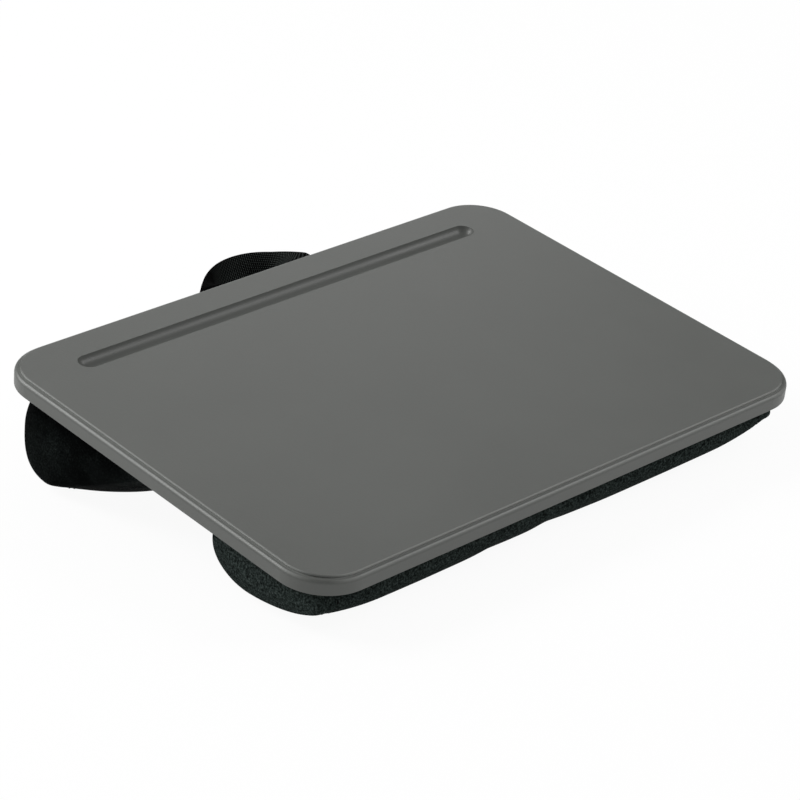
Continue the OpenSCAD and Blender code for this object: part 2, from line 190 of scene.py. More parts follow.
def backing_paper():
    """Plain balancing paper glued to the board's underside: a pale, slightly uneven off-white with
    short fibres, matt."""
    made, tree = new_material("backing_paper")
    place = add(tree, "TexCoord").outputs["Object"]
    fibres = add(tree, "TexNoise", {"Vector": place, "Scale": grain(2.4), "Detail": 4, "Roughness": 0.7})
    colour = ramp(tree, fibres.outputs["Fac"], [(0.35, "#cfc9bb"), (0.5, "#dcd7cb"), (0.68, "#e5e1d6")])
    bump = add(tree, "Bump", {"Height": fibres.outputs["Fac"], "Strength": 0.15, "Distance": 0.0001})
    look = {"Base Color": colour, "Roughness": 0.85, "Specular IOR Level": 0.25, "Normal": bump.outputs[0]}
    finish_material(tree, add(tree, "BsdfPrincipled", look))
    return made


def galvanised_wire():
    """Zinc-coated steel wire, drawn and then bent: grey-white metal with a soft cloudy shine and fine
    marks from the driver's blade."""
    made, tree = new_material("staple_wire")
    place = add(tree, "TexCoord").outputs["Object"]
    spangle = add(tree, "TexVoronoi", {"Vector": place, "Scale": grain(1.1)})
    cloud = add(tree, "TexNoise", {"Vector": place, "Scale": grain(3.3), "Detail": 2})
    colour = ramp(tree, spangle.outputs["Distance"], [(0.1, "#c3c5c8"), (0.7, "#a3a6aa")])
    uneven = {"Value": cloud.outputs["Fac"], "From Min": 0.3, "From Max": 0.7, "To Min": 0.28, "To Max": 0.46}
    shine = add(tree, "MapRange", uneven).outputs[0]
    bump = add(tree, "Bump", {"Height": cloud.outputs["Fac"], "Strength": 0.2, "Distance": 0.0001})
    look = {"Base Color": colour, "Metallic": 1, "Roughness": shine, "Normal": bump.outputs[0]}
    finish_material(tree, add(tree, "BsdfPrincipled", look))
    return made


def bolster_cloth():
    """Brushed polyester twill, warp-knitted and lightly napped: near black, dull, with a fine speckle
    where the nap lies this way and that. Painted shade and light: it is painted darker towards the rear,
    under the board, and paler in front. The tufts, really about 0.4 mm, are drawn at 1.1 mm and the
    threads at 0.8 mm, so that they show."""
    made, tree = new_material("bolster_cloth")
    place = add(tree, "TexCoord").outputs["Object"]
    nap = add(tree, "TexNoise", {"Vector": place, "Scale": grain(1.1), "Detail": 3, "Roughness": 0.65})
    rubbed = add(tree, "TexNoise", {"Vector": place, "Scale": grain(42), "Detail": 3, "Roughness": 0.55})
    # Painted shade: darker towards the rear, under the board, and paler towards the front, by the place along
    # Y in metres
    depth = add(tree, "SeparateXYZ", {"Vector": place}).outputs["Y"]
    front = add(tree, "MapRange", {"Value": depth, "From Min": 0.02, "From Max": -0.09})
    dark = ramp(tree, nap.outputs["Fac"], [(0.4, "#000101"), (0.56, "#030404"), (0.7, "#0c100f")])
    pale = ramp(tree, nap.outputs["Fac"], [(0.36, "#0b0f0e"), (0.52, "#272e2c"), (0.7, "#424a48")])
    rubbed = rubbed.outputs["Fac"]
    patches = {"Value": rubbed, "From Min": 0.35, "From Max": 0.7, "To Min": -0.12, "To Max": 0.22}
    lay = add(tree, "MapRange", patches)
    share = add(tree, "Math", {0: front.outputs[0], 1: lay.outputs[0]}, operation="ADD", use_clamp=True)
    colour = add(tree, "Mix", {"Factor": share.outputs[0], 6: dark, 7: pale}, data_type="RGBA").outputs[2]
    threads = add(tree, "TexVoronoi", {"Vector": place, "Scale": grain(0.8)})
    height = add(tree, "Math", {0: nap.outputs["Fac"], 1: threads.outputs["Distance"]}, operation="ADD")
    bump = add(tree, "Bump", {"Height": height.outputs[0], "Strength": 0.35, "Distance": 0.0004})
    look = {"Base Color": colour, "Roughness": 0.95, "Specular IOR Level": 0.02, "Normal": bump.outputs[0]}
    finish_material(tree, add(tree, "BsdfPrincipled", look))
    return made


def sewing_thread():
    """Bonded polyester thread, black: twisted and nearly matt."""
    made, tree = new_material("sewing_thread")
    place = add(tree, "TexCoord").outputs["Object"]
    strands = {"Vector": place, "Scale": bands(0.35), "Distortion": 1}
    twist = add(tree, "TexWave", strands, bands_direction="DIAGONAL")
    colour = ramp(tree, twist.outputs["Fac"], [(0.2, "#000000"), (0.8, "#060707")])
    look = {"Base Color": colour, "Roughness": 0.8, "Specular IOR Level": 0.08}
    finish_material(tree, add(tree, "BsdfPrincipled", look))
    return made


def woven_cloth():
    """Plain-woven polyester, black and matt. Its threads, really half a millimetre apart, are drawn
    0.9 mm apart, so that the weave shows: their height comes from two crossing waves."""
    made, tree = new_material("base_cloth")
    place = add(tree, "TexCoord").outputs["Object"]
    waves = []
    for turn in (0, math.pi / 2):
        turned = add(tree, "Mapping", {"Vector": place, "Rotation": (0, 0, turn)})
        threads = {"Vector": turned.outputs[0], "Scale": bands(0.9), "Distortion": 0.6, "Detail": 1}
        waves.append(add(tree, "TexWave", threads, bands_direction="X").outputs["Fac"])
    weave = add(tree, "Math", {0: waves[0], 1: waves[1]}, operation="MULTIPLY").outputs[0]
    cloud = add(tree, "TexNoise", {"Vector": place, "Scale": grain(33), "Detail": 3})
    both = add(tree, "Math", {0: weave, 1: cloud.outputs["Fac"]}, operation="MULTIPLY")
    colour = ramp(tree, both.outputs[0], [(0.1, "#060706"), (0.6, "#161817")])
    bump = add(tree, "Bump", {"Height": weave, "Strength": 0.5, "Distance": 0.0003})
    look = {"Base Color": colour, "Roughness": 0.9, "Specular IOR Level": 0.15, "Normal": bump.outputs[0]}
    finish_material(tree, add(tree, "BsdfPrincipled", look))
    return made


def webbing_weave():
    """Woven polypropylene webbing, black: ribs that lean 20 degrees off straight across, broken up by the
    warp threads, with a low shine. A sheen is painted on the middle of the loop, where the hand holds it,
    and painted shade leaves the ends near black. The threads are drawn a third coarser than the real ones,
    so that they show."""
    made, tree = new_material("webbing")
    marks = add(tree, "UVMap", uv_map=WEAVE_MAP).outputs["UV"]
    leaned = add(tree, "Mapping", {"Vector": marks, "Rotation": (0, 0, math.radians(20))})
    ribs = {"Vector": leaned.outputs[0], "Scale": bands(1.3), "Distortion": 0.5, "Detail": 1}
    rib = add(tree, "TexWave", ribs, bands_direction="X")
    warps = {"Vector": marks, "Scale": bands(1.1), "Distortion": 0.4, "Detail": 1}
    warp = add(tree, "TexWave", warps, bands_direction="Y")
    both = {0: rib.outputs["Fac"], 1: warp.outputs["Fac"]}
    height = add(tree, "Math", both, operation="MULTIPLY").outputs[0]
    # Painted shade: the near black colour, left at the ends; painted sheen: the paler colour, laid on the
    # middle
    new = ramp(tree, height, [(0.05, "#000000"), (0.45, "#010101"), (0.9, "#060706")])
    painted_sheen = ramp(tree, height, [(0.05, "#020202"), (0.45, "#1e2220"), (0.9, "#6a716e")])
    # Painted sheen in the middle, where the hand holds it, and painted shade towards the ends, by the length
    # along it in metres
    length = add(tree, "SeparateXYZ", {"Vector": marks}).outputs["X"]
    left = add(tree, "MapRange", {"Value": length, "From Min": 0.062, "From Max": 0.09})
    right = add(tree, "MapRange", {"Value": length, "From Min": 0.155, "From Max": 0.125, "To Min": 0.12})
    held = add(tree, "Math", {0: left.outputs[0], 1: right.outputs[0]}, operation="MULTIPLY").outputs[0]
    colour = add(tree, "Mix", {"Factor": held, 6: new, 7: painted_sheen}, data_type="RGBA").outputs[2]
    bump = add(tree, "Bump", {"Height": height, "Strength": 0.8, "Distance": 0.0005})
    look = {"Base Color": colour, "Roughness": 0.8, "Specular IOR Level": 0.03, "Normal": bump.outputs[0]}
    finish_material(tree, add(tree, "BsdfPrincipled", look))
    return made


# Bolsters

SEAM_Z = -10.8
BOLSTER_L = 337
PAD_SHIFT = -5.5     # the bolsters' middle, along the board
END_TAPER = 45       # the last stretch of a bolster, which is drawn in towards its end
END_ROUNDING = 0.42  # how much smaller the exponent of a section's front is at an end
SIDE_DRAW = 0.4      # how far an end is drawn in at its sides, as a share of how far from below
# A side of a section: how far it bulges past its seam, how far below the seam it is widest, and the
# exponent of the curve below that level. The end draw is how far an end is drawn in from below
FRONT_BOLSTER = {
    "seam_y": -126,
    "width": 83,
    "belly_y": -72.88,
    "front": (5.4, 9.2, 1.92),
    "rear": (1.5, 9.2, 2.1),
    "depth": 33.5,
    "end_draw": 5.4,
}
REAR_BOLSTER = {
    "seam_y": 2,
    "width": 110,
    "belly_y": 93.3,
    "front": (0, 0, 1.5),
    "rear": (7.5, 25, 3),
    "depth": 57.66,
    "end_draw": 5,
}


def fullness(x):
    """1 along a bolster's middle, falling to 0 at its ends."""
    e = max(0, (abs(x) - BOLSTER_L / 2 + END_TAPER) / END_TAPER)
    return 1 - e * e


def side_points(bolster, facing, full, count):
    """One side of a section from its seam down to the belly; facing is -1 for the front, 1 for the rear."""
    bulge, drop, power = bolster["front" if facing < 0 else "rear"]
    power -= END_ROUNDING * (1 - full) * (facing < 0)
    belly_y = bolster["belly_y"]
    seam_y = bolster["seam_y"] + (0 if facing < 0 else bolster["width"])
    drawn = bolster["end_draw"] * (1 - full)
    top = abs(seam_y - belly_y) - SIDE_DRAW * drawn
    low = bolster["depth"] - drawn - drop
    points = []
    if drop:
        for k in range(count):
            f = k / count
            points.append((belly_y + facing * (top + bulge * math.sin(f * math.pi / 2)), SEAM_Z - drop * f))
    for k in range(count):
        t = math.pi / 2 * k / count
        y = belly_y + facing * (top + bulge) * math.cos(t) ** (2 / power)
        points.append((y, SEAM_Z - drop - low * math.sin(t) ** (2 / power)))
    return points


def resample(points, count):
    """The same line with count points at even steps along it."""
    lengths = [0]
    for a, b in zip(points, points[1:]):
        lengths.append(lengths[-1] + math.dist(a, b))
    made, k = [], 0
    for i in range(count):
        want = lengths[-1] * i / (count - 1)
        while k < len(points) - 2 and lengths[k + 1] < want:
            k += 1
        f = (want - lengths[k]) / (lengths[k + 1] - lengths[k])
        made.append(tuple(p + (q - p) * f for p, q in zip(points[k], points[k + 1])))
    return made


def section(bolster, x, inset, count):
    """The outline of a bolster at x below its cloth, drawn in by inset: y and z, from rear to front seam."""
    full = fullness(x)
    fine = 40
    belly = (bolster["belly_y"], SEAM_Z - bolster["depth"] + bolster["end_draw"] * (1 - full))
    line = side_points(bolster, 1, full, fine) + [belly] + side_points(bolster, -1, full, fine)[::-1]
    line = resample(line, count)
    made = []
    for k, (y, z) in enumerate(line):
        a, b = line[max(k - 1, 0)], line[min(k + 1, count - 1)]
        along = Vector((b[0] - a[0], b[1] - a[1])).normalized()
        y, z = y + inset * along[1], z - inset * along[0]
        made.append((y, min(z, SEAM_Z) if 0 < k < count - 1 else SEAM_Z))
    return made


def ring(bolster, x, inset, count):
    """A closed outline at x: count points under the cloth, from rear to front, then the flat top back."""
    under = section(bolster, x, inset, count)
    flat = [(a, SEAM_Z) for a, b in resample([under[-1], under[0]], count)[1:-1]]
    return under + flat


def new_mesh(name, points, faces):
    """A mesh object in the row frame from points of the board's frame in millimetres."""
    mesh = bpy.data.meshes.new(name)
    mesh.from_pydata([on_board(*p) for p in points], [], faces)
    made = bpy.data.objects.new(name, mesh)
    bpy.context.scene.collection.objects.link(made)
    return made


def only(piece):
    """Selects that piece alone and makes it the active one."""
    bpy.ops.object.select_all(action="DESELECT")
    piece.select_set(True)
    bpy.context.view_layer.objects.active = piece


def in_edit_mode(piece, operator, **settings):
    """Runs an edit mode operator on the whole of a piece."""
    only(piece)
    bpy.ops.object.mode_set(mode="EDIT")
    bpy.ops.mesh.select_all(action="SELECT")
    operator(**settings)
    bpy.ops.object.mode_set(mode="OBJECT")


def apply_modifier(piece, kind, **settings):
    made = piece.modifiers.new(kind.lower(), kind)
    for name, value in settings.items():
        setattr(made, name, value)
    only(piece)
    bpy.ops.object.modifier_apply(modifier=made.name)


POINTS = 44          # points of a section under the cloth, and as many along its flat top
END_ROWS = 10        # rows across an end panel, from the cloth down
SEWN_IN = 0.3        # how far a form lies inside the bolster that it is blown up to
RIM = 1.7            # how far the folded ends stand past the cover's own length
END_SWELL = 2.8      # how far an end panel swells past that
PANEL_RINGS = (0.95, 0.86)  # an end panel's first rings within its edge, as shares of its outline
STEPS = (0, 1.2, 2.6, 4, 5.2, 6.4, 7.6, 8.8, 10, 11.2, 12.4, 13.6, 15, 17.5)  # the first rows from an end
ROW = 4.3            # from one of the other rows to the next
SEAM_IN = (5.5, 13)  # how far an end panel is taken round the end, under the belly and at the board
GATHER_STEP = 7.7


def station_rows():
    """Places along X of a bolster's rows, closer together near its ends, where the seams are."""
    half = BOLSTER_L / 2 + RIM
    inner = half - STEPS[-1]
    count = round(2 * inner / ROW)
    middle = [-inner + 2 * inner * k / count for k in range(1, count)]
    return [-half + step for step in STEPS] + middle + [half - step for step in STEPS[::-1]]


def bolster_form(name, bolster):
    """The sewn form of a bolster before it is blown up, its seams, and the points that are held still."""
    rows = station_rows()
    size = 2 * POINTS - 2
    last = (len(rows) - 1) * size
    points, faces = [], []
    for x in rows:
        points += [(x + PAD_SHIFT, y, z) for y, z in ring(bolster, x, SEWN_IN, POINTS)]
    for i in range(len(rows) - 1):
        for k in range(size):
            a, b = i * size + k, i * size + (k + 1) % size
            faces.append((a, b, b + size, a + size))
    for facing, rim in ((-1, 0), (1, last)):
        end_panel(bolster, points, faces, facing, list(range(rim, rim + size)))
    piece = new_mesh(name, points, faces)
    in_edit_mode(piece, bpy.ops.mesh.normals_make_consistent, inside=False)
    seams = [end_seam(0, size), end_seam(last, -size)]
    seams += [[(i * size + k, i * size + k, 0) for i in range(len(rows))] for k in (0, POINTS - 1)]
    held = set(range(POINTS)) | set(range(last, last + POINTS))
    for i in range(len(rows)):
        held |= {i * size} | set(range(i * size + POINTS - 1, (i + 1) * size))
    return piece, seams, sorted(held)


def end_panel(bolster, points, faces, facing, outer):
    """Closes one end of a form, on its outermost ring of points: two rings within it, then a grid of
    columns from the cloth above down to the cloth below, swelled outwards in the middle."""
    size = len(outer)
    flat = ring(bolster, -BOLSTER_L / 2 - RIM, SEWN_IN, POINTS)
    middle_y = bolster["belly_y"] * 0.7 + (bolster["seam_y"] + bolster["width"] / 2) * 0.3
    middle = (middle_y, SEAM_Z - bolster["depth"] * 0.42)
    for share in PANEL_RINGS:
        x = facing * (BOLSTER_L / 2 + RIM + END_SWELL * (1 - share**4)) + PAD_SHIFT
        inner = list(range(len(points), len(points) + size))
        points += [(x, *(m + (p - m) * share for p, m in zip(q, middle))) for q in flat]
        for k in range(size):
            after = (k + 1) % size
            faces.append((outer[k], outer[after], inner[after], inner[k]))
        outer = inner
    under, above = outer[:POINTS], [outer[0]] + outer[: POINTS - 1 : -1] + [outer[POINTS - 1]]
    columns = []
    for k in range(1, POINTS - 1):
        column = [above[k]]
        span = (k / (POINTS - 1) - 0.5) * 2
        for r in range(1, END_ROWS):
            f = r / END_ROWS
            a, b = Vector(points[above[k]]), Vector(points[under[k]])
            p = a + (b - a) * f
            p.x += facing * END_SWELL * 0.6 * (1 - span * span) * 4 * f * (1 - f)
            points.append(tuple(p))
            column.append(len(points) - 1)
        columns.append(column + [under[k]])
    for a, b in zip(columns, columns[1:]):
        faces += [(a[r], b[r], b[r + 1], a[r + 1]) for r in range(END_ROWS)]
    for column, corner in ((columns[0], outer[0]), (columns[-1], outer[POINTS - 1])):
        faces += [(corner, column[r], column[r + 1]) for r in range(END_ROWS)]


def end_seam(first, way):
    """The seam round one end of a form whose first row starts at that point, the next rows a way further:
    for each place on it, two points and how far it lies from the one to the other."""
    line = []
    for k in range(POINTS):
        inward = SEAM_IN[0] + (SEAM_IN[1] - SEAM_IN[0]) * abs(2 * k / (POINTS - 1) - 1)
        row = sum(step <= inward for step in STEPS) - 1
        a = first + way * row + k
        line.append((a, a + way, (inward - STEPS[row]) / (STEPS[row + 1] - STEPS[row])))
    return line


def blow_up(piece, sewn, pressure, slack, most):
    """Fills a sewn form by cloth simulation, held at its seams; no point moves further than most."""
    start = [v.co.copy() for v in piece.data.vertices]
    piece.vertex_groups.new(name="sewn").add(sewn, 1, "REPLACE")
    cloth = piece.modifiers.new("cloth", "CLOTH")
    settings = cloth.settings
    settings.quality = 7
    settings.mass = 0.2
    settings.tension_stiffness = settings.compression_stiffness = 30
    settings.shear_stiffness = 12
    settings.bending_stiffness = 12
    settings.vertex_group_mass = "sewn"
    settings.shrink_min = -slack
    settings.use_pressure = True
    settings.uniform_pressure_force = pressure
    settings.effector_weights.gravity = 0
    cloth.collision_settings.use_collision = False
    for frame_number in range(1, 21):
        bpy.context.scene.frame_set(frame_number)
    only(piece)
    bpy.ops.object.modifier_apply(modifier=cloth.name)
    bpy.context.scene.frame_set(1)
    for v, first in zip(piece.data.vertices, start):
        moved = v.co - first
        if moved.length > most * MM:
            v.co = first + moved.normalized() * most * MM
    piece.vertex_groups.clear()


def arc_of(line):
    """Lengths along a line of points."""
    lengths = [0]
    for a, b in zip(line, line[1:]):
        lengths.append(lengths[-1] + (b - a).length)
    return lengths


def sew(piece, seams, groove, gather):
    """Draws a stuffed piece in along its seams, with small gathers beside them; lengths in millimetres."""
    tree = KDTree(sum(len(s) for s in seams))
    arcs = []
    for line in seams:
        for point, arc in zip(line, arc_of(line)):
            tree.insert(point, len(arcs))
            arcs.append(arc / MM)
    tree.balance()
    moves = []
    for v in piece.data.vertices:
        index, distance = tree.find(v.co)[1:]
        d, s = distance / MM, arcs[index]
        ripple = math.sin(s * 2 * math.pi / GATHER_STEP + 1.3 * math.sin(s / 9.1))
        height = gather * ripple * (0.6 + 0.4 * math.sin(s / 17.3))
        gathered = height * math.exp(-d / 5) * (1 - math.exp(-d * d))
        moves.append(v.normal * (gathered - groove * math.exp(-d * d / 1.7)))
    for v, move in zip(piece.data.vertices, moves):
        v.co += move * MM


def rest_on_floor(piece):
    """Presses flat what a stuffed piece would push through the plane that it rests on."""
    for v in piece.data.vertices:
        v.co.z = max(v.co.z, 0)


def even_points(line, step):
    """Points at even steps along a line, each with the direction of the line there."""
    arcs, made, k = arc_of(line), [], 0
    count = int(arcs[-1] / step)
    for i in range(count):
        want = (i + 0.5) * arcs[-1] / count
        while arcs[k + 1] < want:
            k += 1
        f = (want - arcs[k]) / (arcs[k + 1] - arcs[k])
        made.append((line[k].lerp(line[k + 1], f), (line[k + 1] - line[k]).normalized()))
    return made


def stitch_model(length, radius):
    """One stitch lying along X: a short thread whose ends dive into the cloth."""
    length, radius = length * MM, radius * MM
    bpy.ops.object.select_all(action="DESELECT")
    bpy.ops.mesh.primitive_cylinder_add(vertices=6, radius=radius, depth=length, rotation=(0, math.pi / 2, 0))
    made = bpy.context.object
    bpy.ops.object.transform_apply(location=False, rotation=True, scale=False)
    bpy.ops.object.mode_set(mode="EDIT")
    for place in (-0.3, 0, 0.3):
        bpy.ops.mesh.select_all(action="SELECT")
        bpy.ops.mesh.bisect(plane_co=(place * length, 0, 0), plane_no=(1, 0, 0))
    bpy.ops.object.mode_set(mode="OBJECT")
    for v in made.data.vertices:
        f = v.co.x / (length / 2)
        v.co.z -= radius * 1.6 * f * f
        v.co.y *= 1 - 0.35 * abs(f)
    return made


def stitches(name, lines, surface_of, step, length, radius, sunk):
    """One piece that holds a row of stitches along each line, copied from one model and sunk into the
    surface of another piece by a share of the thread's radius."""
    model = stitch_model(length, radius)
    copies = []
    for line in lines:
        for place, along in even_points(line, step * MM):
            spot, normal = surface_of.closest_point_on_mesh(place)[1:3]
            side = normal.cross(along).normalized()
            turn = Matrix((along, side, along.cross(side).normalized())).transposed().to_4x4()
            copy = model.copy()
            copy.data = model.data.copy()
            copy.data.transform(Matrix.Translation(spot - normal * radius * MM * sunk) @ turn)
            bpy.context.scene.collection.objects.link(copy)
            copies.append(copy)
    bpy.data.objects.remove(model)
    only(copies[0])
    for copy in copies:
        copy.select_set(True)
    bpy.ops.object.join()
    made = bpy.context.object
    made.name = name
    in_edit_mode(made, bpy.ops.mesh.normals_make_consistent, inside=False)
    return made


def finish_piece(piece, material, body="desk", smooth=True):
    """Gives a new piece its material, its smooth faces and its body."""
    piece.data.materials.clear()
    piece.data.materials.append(material)
    if smooth:
        piece.data.polygons.foreach_set("use_smooth", [True] * len(piece.data.polygons))
    if body:
        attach(piece, body)


def make_bolster(name, bolster, cad_name, cloth, thread):
    """A stuffed bolster with its seams, in place of the CAD's cover, end panels and fill."""
    piece, seams, sewn = bolster_form(name, bolster)
    blow_up(piece, sewn, pressure=4, slack=0.002, most=1.6)
    apply_modifier(piece, "SMOOTH", factor=0.5, iterations=3)
    spots = [v.co.copy() for v in piece.data.vertices]
    lines = [[spots[a].lerp(spots[b], f) for a, b, f in line] for line in seams]
    apply_modifier(piece, "SUBSURF", levels=1, render_levels=1)
    sew(piece, lines, groove=0.5, gather=0.03)
    rest_on_floor(piece)
    finish_piece(piece, cloth)
    parts = [cad_name + end for end in ("_cover", "_end_left", "_end_right", "_fill")]
    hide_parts(*parts)
    sewing = stitches(name + "_seams", lines, piece, step=5.2, length=3.4, radius=0.6, sunk=0.1)
    finish_piece(sewing, thread)


# Webbing handle

WEB_W, WEB_T = 25, 1.6
COLUMNS = 10
TAIL_ROWS = 8
LOOP_ROWS = 36       # rows of half the loop
LOOP_W, LOOP_OUT, LOOP_DROP = 97, 28, 6  # its width, its reach past the board and its top below the board's
HANDLE_SHIFT = 8.5   # the handle's middle, along the board
HINGE_Y = BOARD_D / 2 - 1.2
WEB_Z = SEAM_Z - WEB_T / 2
LOOP_H = BOARD_D / 2 + LOOP_OUT - HINGE_Y
TAIL_FRONT_Y = BOARD_D / 2 - 22
LEAN = math.atan2(2 * LOOP_H, LOOP_W / 2)
CUT_W = WEB_W / math.sin(LEAN)


def smooth(v):
    c = min(max(v, 0), 1)
    return c * c * (3 - 2 * c)


def selvedge(s):
    """The loop's upper selvedge at s, from -1 at the left end to 1 at the right."""
    rise = smooth((1 - abs(s) - 0.04) / 0.13)
    x, y = HANDLE_SHIFT + LOOP_W / 2 * s, HINGE_Y + LOOP_H * (1 - s * s)
    return Vector((x, y, WEB_Z + (-LOOP_DROP - WEB_Z) * rise))


def across(s):
    """From the upper selvedge to the lower one: flat under the board at both ends, on edge in the middle."""
    v = 1 - abs(s)
    flat = Vector((-math.copysign(CUT_W, s), 0, 0))
    inward = Vector((-2 * LOOP_H * s, -LOOP_W / 2, 0)).normalized()
    turn = math.pi / 2 * smooth(v / 0.8)
    stood = WEB_W * Vector((inward.x * math.cos(turn), inward.y * math.cos(turn), -math.sin(turn)))
    return flat.lerp(stood, smooth(v / 0.5))


def strap_rows():
    """The webbing's rows from one cut end to the other: its upper selvedge and the way across it."""
    rows = []
    for k in range(TAIL_ROWS):
        y = TAIL_FRONT_Y + (HINGE_Y - TAIL_FRONT_Y) * k / TAIL_ROWS
        x = LOOP_W / 2 + (HINGE_Y - y) / math.tan(LEAN)
        rows.append((Vector((HANDLE_SHIFT - x, y, WEB_Z)), Vector((CUT_W, 0, 0))))
    rows += [(selvedge(k / LOOP_ROWS - 1), across(k / LOOP_ROWS - 1)) for k in range(2 * LOOP_ROWS + 1)]
    for a, b in rows[TAIL_ROWS - 1 :: -1]:
        rows.append((Vector((2 * HANDLE_SHIFT - a.x, a.y, a.z)), -b))
    return rows


def make_strap(webbing):
    """The handle: one length of webbing, whose ends lie flat under the board."""
    points, faces, marks = [], [], []
    rows = strap_rows()
    arc, last = 0, None
    for start, over in rows:
        if last:
            arc += ((start - last[0]).length + (start + over - last[1]).length) / 2
        last = start, start + over
        for k in range(COLUMNS + 1):
            points.append(tuple(start + over * k / COLUMNS))
            marks.append((arc * MM, over.length * k / COLUMNS * MM))
    wide = COLUMNS + 1
    for i in range(len(rows) - 1):
        for k in range(COLUMNS):
            a = i * wide + k
            faces.append((a, a + 1, a + 1 + wide, a + wide))
    piece = new_mesh("webbing_handle", points, faces)
    weave = piece.data.uv_layers.new(name=WEAVE_MAP)
    for loop in piece.data.loops:
        weave.data[loop.index].uv = marks[loop.vertex_index]
    # A little thinner than the solid it stands for, so that it lies clear of its neighbours
    apply_modifier(piece, "SOLIDIFY", thickness=WEB_T * 0.94 * MM, offset=0, use_even_offset=False)
    rounding = {"width": 0.5 * MM, "segments": 2, "limit_method": "ANGLE", "angle_limit": math.radians(50)}
    apply_modifier(piece, "BEVEL", **rounding)
    finish_piece(piece, webbing, body=None)
    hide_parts("handle_loop", "handle_tail_left", "handle_tail_right")
    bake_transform(piece)


# Underside cloth

CLOTH_T, CLOTH_MARGIN = 0.8, 4
HEM, HEM_T = 5, 0.35
HEM_STITCH_IN = 1.2  # how far outside the hem's inner edge it is stitched
CLOTH_GRID = 6
CLOTH_SLACK = 0.28   # the cloth hangs up to twice this far down between its staples


def rounded_line(half_w, half_d, radius, z):
    """A closed line round a rectangle with rounded corners, given in the board's frame in millimetres."""
    line = []
    for sx, sy, quarter in ((1, 1, 0), (-1, 1, 1), (-1, -1, 2), (1, -1, 3)):
        for j in range(13):
            a = math.pi / 2 * (quarter + j / 12)
            x = sx * (half_w - radius) + radius * math.cos(a)
            line.append(on_board(x, sy * (half_d - radius) + radius * math.sin(a), z))
    return line + line[:1]


def make_underside(cloth, thread):
    """The cloth panel under the board, with its turned hem and the hem's stitches."""
    wide, deep = BOARD_W - 2 * CLOTH_MARGIN, BOARD_D - 2 * CLOTH_MARGIN
    radius = CORNER_R - CLOTH_MARGIN
    bpy.ops.object.select_all(action="DESELECT")
    bpy.ops.mesh.primitive_plane_add(size=1, location=(0, 0, 0))
    piece = bpy.context.object
    piece.name = "underside_cloth"
    piece.scale = (wide * MM, deep * MM, 1)
    bpy.ops.object.transform_apply(location=False, rotation=False, scale=True)
    bpy.ops.object.mode_set(mode="EDIT")
    bpy.ops.mesh.select_all(action="SELECT")
    bpy.ops.mesh.bevel(offset=radius * MM, segments=12, affect="VERTICES")
    bpy.ops.mesh.extrude_region_move(TRANSFORM_OT_translate={"value": (0, 0, -(CLOTH_T + HEM_T) * MM)})
    bpy.ops.mesh.inset(thickness=HEM * MM, depth=0)
    bpy.ops.transform.translate(value=(0, 0, HEM_T * MM))
    for way, size in (((1, 0, 0), wide), ((0, 1, 0), deep)):
        cuts = math.ceil(size / 2 / CLOTH_GRID) - 1
        for k in range(-cuts, cuts + 1):
            bpy.ops.mesh.select_all(action="SELECT")
            bpy.ops.mesh.bisect(plane_co=[w * k * CLOTH_GRID * MM for w in way], plane_no=way)
    bpy.ops.mesh.select_all(action="SELECT")
    bpy.ops.mesh.normals_make_consistent(inside=False)
    bpy.ops.object.mode_set(mode="OBJECT")
    for v in piece.data.vertices:
        x, y = v.co.x / MM, v.co.y / MM
        inside = min(1, max(0, (wide / 2 - abs(x)) / 14)) * min(1, max(0, (deep / 2 - abs(y)) / 14))
        if abs(v.co.z / MM + CLOTH_T) < 0.01:
            waves = math.sin(x / 11 + 2 * math.sin(y / 23)) * math.sin(y / 9 + x / 31)
            v.co.z -= CLOTH_SLACK * MM * inside * (1 + waves)
    piece.data.transform(board_frame @ Matrix.Translation((0, 0, (SEAM_Z + CLOTH_T) * MM)))
    finish_piece(piece, cloth, smooth=False)
    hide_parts("base_cloth")
    inset = HEM - HEM_STITCH_IN
    line = rounded_line(wide / 2 - inset, deep / 2 - inset, radius - inset, SEAM_Z)
    hem = stitches("underside_hem", [line], piece, step=3.6, length=2.8, radius=0.2, sunk=-0.25)
    finish_piece(hem, thread)


# The pieces and their finishes

finishes = {
    "board_core": fibreboard(),
    "board_film": vinyl_film(),
    "board_backer": backing_paper(),
    "cloth_staples": galvanised_wire(),
}
bolster_black = bolster_cloth()
base_black = woven_cloth()
webbing_black = webbing_weave()
thread = sewing_thread()
finishes["handle_staples"] = finishes["cloth_staples"]
finishes["base_cloth"] = base_black
for name in ("handle_loop", "handle_tail_left", "handle_tail_right"):
    finishes[name] = webbing_black
for name, node in nodes.items():
    node.data.materials.clear()
    node.data.materials.append(finishes.get(name, bolster_black))
make_underside(base_black, thread)
make_strap(webbing_black)
make_bolster("rear_bolster", REAR_BOLSTER, "rear", bolster_black, thread)
make_bolster("front_bolster", FRONT_BOLSTER, "front", bolster_black, thread)


# Studio

FLOOR_SIZE = 8
FLOOR_GLOW = 0.94    # the rest of the floor is paper, which keeps the object's shadow
SKY_FILL = 0.36
LIT_POINT = (0, 0, 0.05)
# Soft boxes: name, place and size in metres, power in watts
LAMPS = (
    ("rear_left", (-1.01, 1.21, 1.23), (1.0, 0.9), 29),
    ("front_right", (1.21, -1.01, 1.23), (0.9, 0.8), 13),
    ("rear_right", (1.17, 1.39, 0.85), (1.0, 0.9), 3.2),
    ("overhead", (0, 0, 2), (1.0, 0.9), 1.5),
)


def lamp(name, place, size, power):
    """A soft box aimed at the object."""
    data = bpy.data.lights.new(name, "AREA")
    data.shape = "RECTANGLE"
    data.size, data.size_y = size
    data.energy = power
    made = bpy.data.objects.new(name, data)
    bpy.context.scene.collection.objects.link(made)
    made.location = place
    made.rotation_euler = (Vector(LIT_POINT) - Vector(place)).to_track_quat("-Z", "Y").to_euler()


